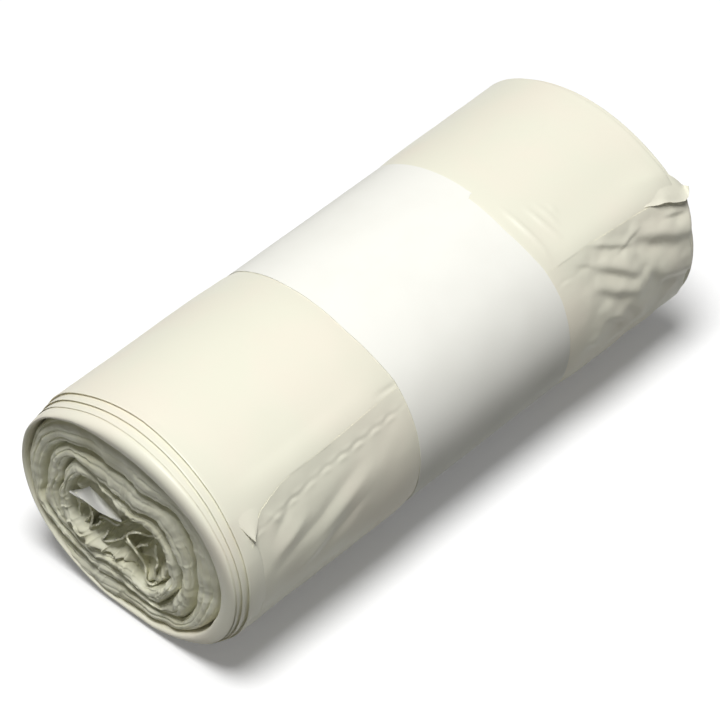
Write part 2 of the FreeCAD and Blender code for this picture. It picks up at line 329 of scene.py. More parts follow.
# the rim's inner side: how far behind the end plane, and the share of the way down
RIM_INSIDE = ((0.05, 0.3), (0.15, 0.6), (0.35, 0.85), (0.8, 0.97), (1.6, 1.0))
RIM_CREST = 0.55  # where the rim turns over, as a share of its width
WALL_PLACES = (5.0, 14.0)  # the skin runs on inside the recess, behind the turns
WALL_INSET = 0.2
FAR_RIM_START, FAR_CREST = 74.45, 2.0


def near_profile(angle):
    """The skin's (x, inset) places from the middle over the near end, for each direction."""
    drift = table_value(angle, EDGE_DRIFT)
    inner = table_value(angle, NEAR_RIM)
    places = []
    for turn, (edge, share) in enumerate(zip(NEAR_EDGES, NEAR_DRIFTS)):
        waver = 0.12 * unevenness(turn * 7.3 + 0 * angle, (angle + 180) / 15, 11 + turn, 24)
        for along, down in EDGE_SHAPE:
            inset = sum(TURN_STEPS[:turn]) + TURN_STEPS[turn] * down
            places.append((edge - share * drift + along + waver, inset))
    steps = sum(TURN_STEPS)
    last_x = places[-1][0]
    crown = steps + (inner - steps) * RIM_CREST
    for share in RIM_SHAPE:
        turned = share * math.pi / 2
        x = last_x + (-HALF_LENGTH - last_x) * math.sin(turned)
        places.append((x, steps + (crown - steps) * (1 - math.cos(turned))))
    for behind, share in RIM_INSIDE:
        places.append((-HALF_LENGTH + behind, crown + (inner - crown) * share))
    for behind in WALL_PLACES:
        places.append((-HALF_LENGTH + behind, inner + WALL_INSET))
    return places


def far_profile(angle):
    """The same over the far end, from its innermost place back to the middle."""
    inner = 3.6 + 0.7 * unevenness(0 * angle, (angle + 180) / 45, 31, 8)
    places = [(HALF_LENGTH - behind, inner + WALL_INSET) for behind in reversed(WALL_PLACES)]
    for behind, share in ((1.6, 1.0), (0.8, 0.97), (0.35, 0.85), (0.1, 0.5)):
        places.append((HALF_LENGTH - behind, FAR_CREST + (inner - FAR_CREST) * share))
    steps = sum(TURN_STEPS)
    for share in (1.0, 0.8, 0.6, 0.4, 0.2):
        turned = share * math.pi / 2
        x = FAR_RIM_START + (HALF_LENGTH - FAR_RIM_START) * math.sin(turned)
        places.append((x, steps + (FAR_CREST - steps) * (1 - math.cos(turned))))
    for turn in reversed(range(len(FAR_EDGES))):
        waver = 0.1 * unevenness(turn * 5.1 + 0 * angle, (angle + 180) / 15, 41 + turn, 24)
        for along, down in reversed(EDGE_SHAPE):
            along = along if turn == 0 else along * 0.4
            inset = sum(TURN_STEPS[:turn]) + TURN_STEPS[turn] * down
            places.append((FAR_EDGES[turn] - along + waver, inset))
    return places


# %% Where the loose end's free edge lies, as (along the roll, down from the top)
LOOSE_EDGE = (
    (-68.6, 39.0), (-67.2, 36.6), (-66.3, 34.8), (-64.0, 32.8), (-61.7, 31.2), (-59.0, 30.3),
    (-55.0, 29.2), (-51.0, 28.8), (-45.0, 28.8), (-35.0, 28.5), (-25.0, 28.0), (-17.0, 27.9),
    (32.0, 27.7), (44.0, 27.9), (60.0, 29.0), (70.0, 30.0), (76.0, 31.0),
)
LOOSE_LOW = 84.0  # the loose end is followed down to here


def line_value(x, line):
    """How far down a measured line lies at each place along the roll."""
    xs, values = zip(*line)
    return np.interp(x, xs, values)


def under_loose_end(x, s):
    """1 where the loose end covers the skin, 0 elsewhere."""
    below = smoothstep(0.2, 1.6, s - line_value(x, LOOSE_EDGE))
    along = smoothstep(-66.4, -64.6, x) * smoothstep(73.4, 72.4, x)
    return below * along * smoothstep(LOOSE_LOW - 3, LOOSE_LOW - 9, s)


def edge_swell(x, s):
    """The film stands off a little along the free edge, most right of the band."""
    right_part = 0.9 * smoothstep(33, 42, x) * smoothstep(77, 68, x)
    left_part = 0.6 * smoothstep(-18, -28, x) * smoothstep(-67, -56, x)
    return (right_part + left_part) * np.exp(-(((s - 27.5) / 5.5) ** 2))


# %% The middle of the skin, with the ripples beside the band
# paths as (along the roll, down from the top)
RIPPLES = (
    ((33.6, 8.0), (33.9, 14.0), (34.5, 22.0), (34.2, 27.0)),
    ((37.8, 12.0), (38.6, 18.0), (39.8, 24.0)),
    ((40.4, 13.0), (41.2, 17.0), (41.8, 21.0)),
    ((43.0, 15.0), (43.6, 18.5)),
)
RIPPLE_HEIGHTS = (0.34, 0.36, 0.24, 0.16)
# soft creases: path, width and height, negative for a valley
SKIN_FOLDS = (
    (((-70.0, 23.5), (-50.0, 23.0), (-25.0, 22.5)), 1.8, -0.12),
    (((-24.0, 26.6), (-20.0, 26.9), (-15.0, 27.3)), 0.5, -0.3),
    (((-69.6, 29.5), (-69.5, 34.0), (-69.8, 40.0)), 1.3, -0.3),
    (((-67.4, 0.0), (-66.6, 2.0), (-66.0, 4.5)), 0.7, -0.15),
    (((60.0, 22.0), (70.0, 25.0), (76.0, 27.0)), 2.0, 0.25),
)
# where along the roll the columns' spacing changes, and to what
BODY_STOPS = ((-66.6, 0.75), (-19.0, 0.4), (-13.5, 1.5), (29.5, 0.34), (46.0, 0.8), (71.6, 1))
RIPPLE_WIDTH = 0.75
UNDER_LOOSE_END = 1.3  # the skin dips by this where the loose end covers it


def body_columns():
    """Places along the middle, closer together where the film is rippled or drawn in."""
    places = []
    for (start, step), (end, _) in zip(BODY_STOPS, BODY_STOPS[1:]):
        places += list(np.arange(start, end, step))
    return np.array(places)


def skin_lift(x, angle):
    """How far the outer turn stands off the plain oval."""
    s = length_down(angle)
    front = (angle < 0) & (angle > -120)
    lift = band_pull(x, angle) + np.where(front, edge_swell(x, s), 0)
    for path, height in zip(RIPPLES, RIPPLE_HEIGHTS):
        lift = lift + np.where(front, crease(x, s, path, RIPPLE_WIDTH, height), 0)
    for path, width, height in SKIN_FOLDS:
        lift = lift + np.where(front, crease(x, s, path, width, height), 0)
    around = (angle + 180) / 360
    calm = smoothstep(0, 3, np.maximum(x - 33, -17 - x))
    lift = lift + calm * 0.10 * unevenness(x / 17 + 9, around * 16, 3, 16)
    lift = lift + calm * 0.035 * unevenness(x / 5 + 20, around * 32, 4, 32)
    return lift - UNDER_LOOSE_END * under_loose_end(x, s)


# %% Lay the skin
def profile(angle):
    """All places along the roll, from inside the near recess to inside the far one."""
    body = [(place, 0.0) for place in body_columns()]
    near = list(reversed(near_profile(angle)))
    far = list(reversed(far_profile(angle)))
    return near + body + far


SKIN_ROWS = 320
SKIN_COLUMNS = len(profile(np.zeros(1))) - 1


def skin_rule(u, v):
    """Each column of the grid is one place of the profile, each row one direction."""
    angle = v * 360 - 180
    column = np.rint(u * SKIN_COLUMNS).astype(int)
    x, inset = np.empty_like(u), np.empty_like(u)
    for index, (place_x, place_inset) in enumerate(profile(angle)):
        here = column == index
        x[here] = np.broadcast_to(place_x, u.shape)[here]
        inset[here] = np.broadcast_to(place_inset, u.shape)[here]
    y, z = oval(angle, skin_lift(x, angle) - inset)
    return x, y, z


film_skin = make_sheet("film_skin", SKIN_COLUMNS, SKIN_ROWS, skin_rule)
close_and_smooth(film_skin)
report(film_skin)

# %% [markdown]
# ## The loose end of the outermost bag
# Below the top the last bag's free edge shows. It clings to the roll there, bulges a little
# under its edge and carries the puckered seal line a few millimetres further down. Right of
# the band it is crumpled, left of the band it falls in long shallow folds. It is a second
# sheet laid over the skin, with its borders sunk into it.

# %% Places measured along the loose end, as (along the roll, down from the top)
SEAL_LINE = (
    (-70.0, 36.0), (-65.0, 35.0), (-53.0, 33.6), (-44.0, 32.6), (-33.0, 32.3), (-23.0, 32.0),
    (35.0, 31.7), (50.0, 32.5), (60.0, 33.4), (76.0, 35.0),
)
LOOSE_RIGHT = ((28.0, 74.6), (32.0, 76.2), (36.0, 75.6), (41.0, 73.9), (50.0, 73.4), (55.0, 72.6))
PUCKER_PITCH = 5.2
# folds right of the band: path, width of the drop, height and how far it is felt
RIGHT_FOLDS = (
    (((43.0, 27.6), (46.3, 29.5), (50.0, 31.7), (52.7, 33.1), (56.0, 34.6)), 0.9, 0.32, 2.0),
    (((50.5, 34.2), (53.5, 33.4), (57.0, 32.4), (60.0, 31.8)), 0.7, 0.22, 1.5),
    (((42.0, 32.6), (46.7, 35.8), (50.0, 38.1), (55.5, 42.8)), 2.0, 0.8, 3.0),
    (((41.0, 37.6), (46.3, 41.8), (50.7, 44.6), (55.0, 46.8)), 2.2, 0.75, 3.2),
    (((42.5, 46.6), (46.7, 49.2), (51.0, 53.4)), 1.6, 0.5, 2.6),
    (((36.5, 50.2), (41.0, 54.0), (44.0, 57.8)), 1.6, 0.45, 2.8),
    (((55.5, 32.2), (61.0, 36.0), (65.3, 38.2), (68.3, 39.9), (75.5, 42.2)), 3.2, 1.3, 3.8),
    (((66.5, 33.4), (70.0, 34.6), (73.8, 35.8)), 0.8, 0.3, 1.6),
    (((57.5, 42.0), (63.0, 47.6), (69.0, 50.5), (76.0, 52.0)), 2.6, 0.7, 4.0),
    (((49.0, 46.0), (54.0, 52.0), (57.0, 59.0)), 2.2, 0.4, 3.0),
    (((39.0, 30.4), (41.5, 31.6), (43.6, 33.6)), 0.7, 0.16, 1.4),
    (((56.5, 36.5), (57.5, 41.0), (56.5, 46.0)), 1.6, 0.3, 2.6),
)
# creases left of the band: path, width and height, negative for a valley
LEFT_FOLDS = (
    (((-50.0, 33.6), (-55.0, 34.6), (-59.0, 37.2), (-63.0, 40.0)), 1.3, -0.25),
    (((-31.0, 35.6), (-39.7, 38.3), (-48.3, 41.7), (-55.0, 43.5), (-64.0, 47.0)), 1.9, -0.42),
    (((-50.0, 38.0), (-56.0, 40.5), (-64.0, 43.6)), 1.6, 0.35),
    (((-29.0, 37.8), (-40.0, 42.0), (-46.0, 44.3), (-54.0, 47.4)), 1.9, 0.38),
    (((-31.0, 43.0), (-40.0, 46.3), (-46.0, 49.0), (-54.0, 53.0)), 1.9, -0.38),
    (((-44.0, 46.0), (-49.7, 48.2), (-56.0, 51.5)), 1.4, 0.25),
    (((-24.0, 36.0), (-30.0, 40.0), (-38.0, 47.0), (-44.0, 55.0)), 3.0, 0.2),
    (((-62.0, 31.8), (-60.0, 34.0), (-57.0, 37.0)), 1.0, 0.2),
)


def seal_height(x, s):
    """The heat-sealed line: a fine groove, gathered in small puckers."""
    below = s - line_value(x, SEAL_LINE)
    loose = 0.55 + 0.45 * unevenness(x / 4, 0 * x, 77)
    gather = 0.5 + 0.5 * np.cos(2 * math.pi * (x + 1.1 + loose) / PUCKER_PITCH)
    below = below + 0.35 * (gather - 0.5)
    groove = -0.13 * np.exp(-((below / 0.4) ** 2)) * (0.25 + 0.75 * gather)
    bump = 0.13 * np.exp(-(((below - 0.9) / 0.5) ** 2)) * gather
    other = 0.09 * np.exp(-(((below + 0.8) / 0.5) ** 2)) * (1 - gather)
    fade = 1 - 0.6 * smoothstep(-52, -62, x) - 0.85 * smoothstep(33, 40, x)
    return (groove + bump + other) * fade * (0.5 + 0.7 * loose)


def loose_lift(x, s):
    """How far the loose end stands off the plain oval."""
    angle = angle_down(s)
    under_edge = s - line_value(x, LOOSE_EDGE)
    below = np.maximum(under_edge, 0)
    lift = 0.08 - 0.42 * (1 - np.exp(-below / 2.6)) + 0.4 * smoothstep(3.0, 14.0, below)
    lift = lift + edge_swell(x, s)
    beside = np.maximum(x - table_value(angle, BAND_RIGHT), table_value(angle, BAND_LEFT) - x)
    free = 1 - np.exp(-np.maximum(beside, 0) / 4.0)
    lift = lift * (0.1 + 0.9 * free)
    folds = seal_height(x, s)
    for path, width, height, reach in RIGHT_FOLDS:
        folds = folds + fold_edge(x, s, path, width, height, reach)
    for path, width, height in LEFT_FOLDS:
        folds = folds + crease(x, s, path, width, height)
    crumpled = smoothstep(34, 42, x)
    folds = folds + (0.10 + 0.12 * crumpled) * unevenness(x / 5.5 + s / 9, s / 4.5 + 2, 71)
    folds = folds + (0.02 + 0.08 * crumpled) * unevenness(x / 2.6 + 30, s / 2.1 + 2, 72)
    folds = folds * smoothstep(0.0, 3.0, under_edge + 0.9) * smoothstep(LOOSE_LOW, 66, s)
    return lift + folds * free + band_pull(x, angle)


LOOSE_COLUMNS, LOOSE_ROWS = 330, 128
LOOSE_FROM, LOOSE_TO = LOOSE_EDGE[0][0], 76.2
EDGE_CURL = 1.2  # the film turns in over this width at the far end
EDGE_FOLD = 0.33  # how far the free edge is turned down, which shows as its thickness


def loose_rule(u, v):
    """The sheet hangs down from its free edge, and its other borders sink into the skin."""
    x = LOOSE_FROM + (LOOSE_TO - LOOSE_FROM) * u
    edge = line_value(x, LOOSE_EDGE)
    row = np.rint(v * LOOSE_ROWS)
    share = np.maximum(row - 1, 0) / (LOOSE_ROWS - 1)
    s = edge + (LOOSE_LOW - edge) * share ** 1.12
    end_x = np.interp(s, *zip(*LOOSE_RIGHT))
    lift = loose_lift(x, s)
    past = np.maximum(x - (end_x - EDGE_CURL), 0)
    turned_in = end_x - EDGE_CURL + EDGE_CURL * np.sin(np.minimum(past / EDGE_CURL, 1.5))
    x = np.where(past > 0, turned_in, x)
    lift = lift - 0.55 * past ** 1.5
    lift = lift - smoothstep(LOOSE_FROM + 1.2, LOOSE_FROM, x) - 1.1 * smoothstep(76, LOOSE_LOW, s)
    lift = np.where(row == 0, lift - EDGE_FOLD, lift)
    y, z = oval(angle_down(s), lift)
    return x, y, z


loose_end = make_sheet("loose_end", LOOSE_COLUMNS, LOOSE_ROWS, loose_rule)
close_and_smooth(loose_end, fill_holes=False, sharp_angle=80)
report(loose_end)

# %% [markdown]
# ## The two corners of the loose end
# At the near end the film under the cut-away corner stands up in a small pointed pleat. At
# the far end the corner of the edge has rolled over and hangs off the roll as a bright flap.
# Each is a small sheet of its own with a little thickness.

# %% Pleat at the near end
PLEAT_LEFT, PLEAT_RIGHT, PLEAT_TIP = (-68.9, 27.8), (-60.2, 27.6), (-66.9, 35.8)
PLEAT_THICKNESS = 0.2


def pleat_rule(u, v):
    """A triangle whose tip stands away from the roll."""
    top_x = PLEAT_LEFT[0] + (PLEAT_RIGHT[0] - PLEAT_LEFT[0]) * u
    top_s = PLEAT_LEFT[1] + (PLEAT_RIGHT[1] - PLEAT_LEFT[1]) * u
    narrow = v * (1 - 0.15 * np.sin(math.pi * v))
    x = top_x * (1 - narrow) + PLEAT_TIP[0] * narrow
    s = top_s * (1 - v) + PLEAT_TIP[1] * v
    lift = -0.2 + 0.35 * v + 0.75 * v ** 3 + 0.25 * np.sin(math.pi * u) * v
    lift = lift - 0.25 * (1 - smoothstep(0, 0.12, u)) * (1 - v) + edge_swell(x, s)
    y, z = oval(angle_down(s), lift)
    return x, y, z


near_pleat = make_sheet("near_pleat", 22, 22, pleat_rule)
edit_all(near_pleat)
bpy.ops.mesh.remove_doubles(threshold=0.002 * MM)
bpy.ops.object.mode_set(mode="OBJECT")
report(near_pleat)

# %% Rolled corner at the far end
FLAP_LOW = (
    (61.0, 28.4), (64.0, 29.4), (67.3, 30.4), (69.3, 31.2), (71.5, 32.4), (73.4, 33.2),
    (74.8, 32.9), (75.8, 32.0), (76.3, 31.0),
)
FLAP_THICKNESS = 0.18


def flap_rule(u, v):
    """Rises smoothly out of the skin; its lower border stands off and is ragged."""
    x = FLAP_LOW[0][0] + (FLAP_LOW[-1][0] - FLAP_LOW[0][0]) * u
    low = line_value(x, FLAP_LOW) + 0.2 * unevenness(x / 1.3, 0 * x, 91)
    open_up = smoothstep(62, 71, x)
    high = np.maximum(low - 0.6 - 6.5 * open_up, 25.0 + np.maximum(x - 73.0, 0) * 1.5)
    high = np.minimum(high, low - 0.2)
    s = high + (low - high) * v
    waved = 0.2 * open_up * v * unevenness(x / 2.4, v * 3, 92)
    lift = -0.22 + 0.28 * v + v ** 3 * (0.1 + 1.0 * open_up) + waved
    past = np.maximum(x - 74.2, 0)
    lift = lift - 0.2 * past ** 2 * (1 - 0.5 * v) - 0.3 * smoothstep(63.5, 61.5, x)
    y, z = oval(angle_down(s), lift + edge_swell(x, s))
    return x, y, z


far_flap = make_sheet("far_flap", 60, 30, flap_rule)
report(far_flap)

# %% [markdown]
# ## The wound turns
# Inside each rim the cut edges of many turns lie in soft, wavy bundles with dark grooves
# between them. The grooves run as one winding line from the rim to the flattened hollow in
# the middle. The grid is bent round so that its rows follow the measured grooves, and its
# height along the roll makes the bundles, the finer turns in them and the pleats across.

# %% The grooves, as distances from the hollow's middle for sixteen directions
NEAR_MIDDLE = (3.5, 22.5)
NEAR_GROOVES = (
    (23.5, 23.5, 22.2, 19.8, 17.2, 18.3, 22.3, 22.2,
     21.5, 22.5, 23.3, 24.0, 23.2, 24.3, 25.4, 25.6),
    (18.6, 18.1, 17.7, 11.8, 9.3, 9.4, 15.0, 16.5,
     17.7, 18.2, 18.0, 18.4, 14.3, 14.6, 20.2, 20.8),
    (15.6, 15.3, 13.4, 8.2, 6.4, 6.2, 9.4, 13.2,
     14.4, 14.3, 14.8, 14.6, 10.2, 11.7, 14.6, 16.0),
)
VIEW_DRIFT = (0.95, -1.35)  # what one millimetre along the roll shifts in the measuring plane
MEASURED_AT = -73.0  # where that plane stands along the roll


def ring(table, turn):
    """Distance from the middle for each direction, turn counted from 0 to 1."""
    count = len(table)
    place = np.asarray(turn) % 1 * count
    i = np.floor(place).astype(int)
    f = place - i
    a, b, c, d = (np.asarray(table)[(i + k) % count] for k in (-1, 0, 1, 2))
    return b + 0.5 * f * (c - a + f * (2 * a - 5 * b + 4 * c - d + f * (3 * (b - c) + d - a)))


def rim_ring(middle, inner_table, directions=720):
    """The recess's outline as seen from the hollow's middle."""
    angle = np.linspace(-180, 180, directions, endpoint=False)
    y, z = oval(angle, -table_value(angle, inner_table) - 0.1)
    turn = np.arctan2(z - middle[1], y - middle[0]) / (2 * math.pi) % 1
    order = np.argsort(turn)
    far_off = np.hypot(y - middle[0], z - middle[1])[order]
    return lambda wanted: np.interp(wanted % 1, turn[order], far_off, period=1)


# %% Where each row of the grid lies, seen from the end
HOLLOW_START = 3.0  # the grooves are counted inwards, 0 at the rim and 3 at the hollow
GROOVES_APART = (2.0, 4.5, 6.5)  # each groove stays this far inside the rim


def turn_places(inwards, turn, rim_at, grooves, seed):
    """Distances from the hollow's middle, between the measured grooves and a little wavy."""
    rings = [rim_at(turn)]
    for table, apart in zip(grooves, GROOVES_APART):
        rings.append(np.minimum(ring(table, turn), rings[0] - apart))
    rings.append(rings[-1] * 0.0)
    level = np.clip(np.floor(inwards), 0, 3).astype(int)
    share = np.clip(inwards, 0, 4) - level
    outer = np.choose(level, rings[:4])
    inner = np.choose(level, rings[1:])
    away = outer + (inner - outer) * share
    wavy = np.sin(math.pi * np.clip(inwards / 3.6, 0, 1))
    away = away + wavy * 0.6 * unevenness(inwards + 5, turn * 24, seed, 24)
    return away + wavy * 0.2 * unevenness(inwards * 2 + 40, turn * 48, seed + 1, 48)


# %% How deep the turns lie
HOLLOW_DEPTH = 4.8


def bundle_depth(inwards, turn, seed):
    """Rounded bundles, the dark grooves between them and the fine lines on them."""
    # one winding line: it steps over by a whole bundle where the side is least seen
    winding = inwards + smoothstep(0.72, 1.0, turn)
    bundle = np.abs((winding + 0.5) % 1 - 0.5)
    narrow = 0.085 + 0.045 * unevenness(inwards * 0.9 + 31, turn * 16, seed + 8, 16)
    groove = np.exp(-((bundle / narrow) ** 1.7))
    deep = 2.8 + 1.6 * unevenness(inwards * 0.9 + 3, turn * 16, seed + 2, 16)
    crest = 0.6 + 0.4 * unevenness(inwards * 1.1 + 7, turn * 16, seed + 3, 16)
    depth = crest + deep * groove + 1.2 * (1 - np.sin(math.pi * bundle))
    # four fine turns to the outermost bundle and three to each of the others
    fine = winding * (4 - np.clip(np.floor(inwards), 0, 1)) + turn
    line = np.abs((fine + 0.5) % 1 - 0.5)
    seen = unevenness(inwards + 2, turn * 16, seed + 4, 16)
    shown = 0.35 + 0.65 * smoothstep(-0.5, 0.6, seen)
    return depth + 0.55 * shown * np.exp(-((line / 0.13) ** 1.6)) * (1 - groove)


def relief_depth(inwards, turn, rises, seed):
    """Soft unevenness in three sizes, and sharp little pleats."""
    depth = 0.42 * unevenness(inwards * 1.5 + 11, turn * 32, seed + 5, 32)
    depth = depth + 0.2 * unevenness(inwards * 2.5 + 17, turn * 80, seed + 6, 80)
    depth = depth + 0.05 * unevenness(inwards * 6 + 17, turn * 160, seed + 7, 160)
    # the pleats are strongest on the hollow's lower slopes
    low_slopes = smoothstep(2.2, 2.8, inwards) * smoothstep(0.2, -0.5, rises)
    pleats = 1 - 3 * np.abs(unevenness(inwards * 1.6 + 50, turn * 52, seed + 9, 52))
    pleats = np.maximum(pleats, 0) ** 1.3 * smoothstep(0.15, 0.5, inwards)
    return depth - (0.2 + 0.45 * low_slopes) * pleats


def hollow_crumple(y, z):
    """Crumples of the strip's start on the hollow's floor, in two sizes."""
    crumple = 1.2 * unevenness(y / 3.4 + 9, z / 2.6 + y / 6, 77)
    return crumple + 0.6 * unevenness(y / 1.5 + z / 4, z / 1.3 + 5, 78)


# %% Lay the turns
TURN_ROWS, TURN_AROUND = 150, 520


def turns_rule_for(side, middle, grooves, rim_table, seed):
    """The rule for one end's grid: u runs inwards from the rim, v goes once round."""
    rim_at = rim_ring(middle, rim_table)

    def rule(u, v):
        # four fifths of the rows lie on the turns, the last fifth on the hollow's floor
        inwards = np.where(u < 0.8, u / 0.8 * 3.2, 3.2 + (u - 0.8) / 0.2 * 0.8)
        direction = v * 2 * math.pi
        rises, sideways = np.sin(direction), np.cos(direction)
        away = turn_places(inwards, v, rim_at, grooves, seed)
        depth = bundle_depth(inwards, v, seed) + relief_depth(inwards, v, rises, seed)
        # the recess is deepest under the top of the rim and nearly flush elsewhere
        depth = depth + 0.7 * smoothstep(-0.2, 0.9, rises - 0.35 * sideways)
        in_hollow = smoothstep(HOLLOW_START, HOLLOW_START + 0.3, inwards)
        depth = depth * (1 - in_hollow) + in_hollow * (HOLLOW_DEPTH + 0.3 * depth)
        crumple = hollow_crumple(away * sideways, away * rises)
        depth = depth + crumple * smoothstep(2.8, 3.1, inwards)
        # the first rows run down behind the rim, so that no gap shows
        depth = depth + (0.5 + 1.1 * smoothstep(-0.6, 0, rises)) * np.exp(-inwards / 0.035)
        # lines were measured in one plane; those nearer the eye are set back to theirs
        drift = (0.1 + 1.4 * smoothstep(0.2, -0.9, rises)) * smoothstep(0.1, 0.8, inwards)
        drift = drift if side < 0 else 0.0
        y = middle[0] + away * sideways - VIEW_DRIFT[0] * drift
        z = middle[1] + away * rises - VIEW_DRIFT[1] * drift
        return side * (HALF_LENGTH - depth), y, z

    return rule


def make_turns(name, side, middle, grooves, rim_table, seed):
    """One end's turns, as a sheet whose rows run round and whose middle is closed."""
    rule = turns_rule_for(side, middle, grooves, rim_table, seed)
    turns = make_sheet(name, TURN_ROWS, TURN_AROUND, rule)
    close_and_smooth(turns, fill_holes=False, sharp_angle=70)
    return turns


turns_near = make_turns("turns_near", -1, NEAR_MIDDLE, NEAR_GROOVES, NEAR_RIM, seed=201)
report(turns_near)

# %% The same at the far end, with waves of its own
FAR_RIM = ((-180, 3.4), (180, 3.4))
FAR_MIDDLE = (4.0, 22.7)
FAR_GROOVES = (
    (21.8, 23.0, 22.2, 21.3, 22.5, 24.1, 25.1, 26.6,
     26.9, 23.9, 20.5, 18.1, 15.7, 15.2, 17.1, 19.6),
    (17.3, 17.8, 17.6, 16.4, 15.7, 16.3, 17.2, 18.9,
     21.1, 19.8, 15.7, 13.3, 12.5, 12.5, 13.9, 16.0),
    (14.1, 14.2, 12.2, 10.2, 8.7, 8.8, 10.3, 12.0,
     14.0, 14.1, 11.7, 9.9, 9.6, 9.4, 9.6, 11.6),
)
turns_far = make_turns("turns_far", 1, FAR_MIDDLE, FAR_GROOVES, FAR_RIM, seed=301)
report(turns_far)

# %% [markdown]
# ## Folds in the hollow
# In the middle the start of the strip stands up in crumpled ribbons, with one white pointed
# fold in front. A ribbon is a strip that follows a drawn line and reaches back into the
# hollow. It gets a small thickness, so that its edge catches the light.

# %% Ribbons of film
NEAR_RIBBONS = (
    ((-9.0, 27.0), (-6.8, 28.4), (-5.0, 26.8), (-2.4, 26.4), (0.0, 24.6), (1.8, 22.6), (0.0, 21.0),
     (-2.6, 19.0), (-4.2, 16.0), (-3.6, 13.0), (-5.4, 12.4), (-6.8, 14.6), (-6.0, 17.6),
     (-7.4, 20.2), (-6.6, 23.2), (-7.0, 26.0)),
    ((2.0, 22.4), (3.4, 20.0), (5.0, 18.6), (7.0, 16.8), (9.0, 15.4), (11.4, 14.4), (13.2, 13.0),
     (15.0, 14.4), (15.4, 17.0), (14.2, 19.0), (13.0, 22.0), (13.8, 24.0)),
    ((7.4, 20.0), (8.4, 17.4), (10.0, 15.0), (12.0, 13.4)),
    ((-4.8, 24.0), (-2.4, 22.4), (-1.0, 20.2), (0.6, 19.4), (2.4, 20.4)),
    ((12.0, 23.0), (12.0, 20.6), (12.9, 17.4)),
    ((-10.6, 24.6), (-10.9, 21.6), (-9.6, 17.8), (-7.6, 14.4), (-5.0, 11.6)),
    ((16.8, 25.4), (15.8, 22.6), (16.6, 19.8), (15.0, 17.2), (11.8, 15.8), (9.6, 12.8)),
    ((9.6, 21.4), (10.6, 19.2), (12.6, 18.0), (13.4, 15.8)),
    ((3.6, 24.4), (5.4, 22.8), (8.0, 23.0), (10.4, 22.0)),
)
RIBBON_DEPTH = 4.6
RIBBON_THICKNESS = 0.42


def ribbon_rule_for(path, side, top, seed):
    """The rule for a ribbon along a path; top is how far behind the rim its edge stands."""
    points = np.array(path)
    steps = np.hypot(*np.diff(points, axis=0).T)
    along = np.concatenate(([0], np.cumsum(steps)))

    def rule(u, v):
        place = u * along[-1]
        y = np.interp(place, along, points[:, 0])
        z = np.interp(place, along, points[:, 1])
        waved = 0.8 * unevenness(place / 4 + 3, 0 * v, seed)
        edge = top + waved + 0.3 * unevenness(place, 0 * v, seed + 1)
        x = HALF_LENGTH - edge - RIBBON_DEPTH * v ** 1.3
        y = y + 0.9 * v * unevenness(place / 4, v * 2, seed + 2)
        z = z + 0.9 * v * unevenness(place / 4 + 9, v * 2, seed + 3)
        drift = (x + MEASURED_AT) * (1 if side < 0 else 0) * (1 - v)
        return side * x, y - VIEW_DRIFT[0] * drift, z - VIEW_DRIFT[1] * drift

    return rule


def smooth_path(path, rounds=2):
    """Cuts the corners of a drawn line, so that the film bends instead of breaking."""
    points = [np.array(point) for point in path]
    for _ in range(rounds):
        cut = [points[0]]
        for a, b in zip(points, points[1:]):
            cut += [a * 0.75 + b * 0.25, a * 0.25 + b * 0.75]
        points = cut + [points[-1]]
    return points


def make_ribbon(name, path, side, top, seed):
    """A ribbon of film that stands in the hollow on a drawn line."""
    ribbon = make_sheet(name, 110, 10, ribbon_rule_for(smooth_path(path), side, top, seed))
    thicken(ribbon, RIBBON_THICKNESS)
    shade_smooth(ribbon)
    return ribbon


# %% Stand the ribbons in the hollows
FAR_RIBBONS = (
    ((-9.0, 22.0), (-5.0, 25.0), (-1.0, 24.0), (2.0, 27.0), (6.0, 28.0), (9.0, 31.0),
     (11.0, 32.0)),
    ((-8.0, 20.6), (-4.0, 21.6), (0.0, 21.4), (2.6, 24.4), (6.6, 25.0), (10.0, 28.4)),
)
ribbons = []
for number, path in enumerate(NEAR_RIBBONS):
    top = 2.0 + 0.3 * (number % 3)
    ribbons.append(make_ribbon(f"ribbon_near_{number}", path, -1, top, 400 + 10 * number))
for number, path in enumerate(FAR_RIBBONS):
    ribbons.append(make_ribbon(f"ribbon_far_{number}", path, 1, 3.0, 500 + 10 * number))
print(len(ribbons), "ribbons of film in the hollows")

# %% The white fold in front of the hollow
TONGUE_TOP = ((3.0, 26.5), (7.5, 28.2), (12.8, 30.0), (15.2, 27.4), (19.0, 24.6))
TONGUE_LOW = ((3.0, 26.5), (6.2, 25.0), (10.0, 24.1), (14.6, 24.5), (19.0, 24.4))
TONGUE_THICKNESS = 0.35


def tongue_rule(u, v):
    """A leaning, slightly buckled leaf between an upper and a lower line."""
    top = np.array(TONGUE_TOP)
    low = np.array(TONGUE_LOW)
    places = np.linspace(0, 1, len(top))
    y = np.interp(u, places, top[:, 0]) * (1 - v) + np.interp(u, places, low[:, 0]) * v
    z = np.interp(u, places, top[:, 1]) * (1 - v) + np.interp(u, places, low[:, 1]) * v
    x = -HALF_LENGTH + 2.9 - 1.9 * v + 0.3 * np.sin(u * 7.0) * (1 - v) + 0.15 * np.cos(u * 5)
    drift = MEASURED_AT - x
    return x, y - VIEW_DRIFT[0] * drift, z - VIEW_DRIFT[1] * drift


tongue = make_sheet("tongue", 40, 16, tongue_rule)
report(tongue)

# %% [markdown]
# ## The paper band
# A strip of white paper goes once round the roll and its ends lap over each other on top. It
# is one long sheet here as well: it starts as the upper lap, goes round, and ends under its
# own start. Its edges follow the wavering lines that the film was drawn in by.

# %% Lay the paper
LAP_START, LAP_END = -3.0, 378.0  # the directions of its two ends, once round and lapped
LAP_EDGE = -2.5  # the upper end keeps the width that the band has here
HIDDEN_RIGHT = 30.8  # the lower end's right edge, out of sight under the lap
PAPER_THICKNESS = 0.1


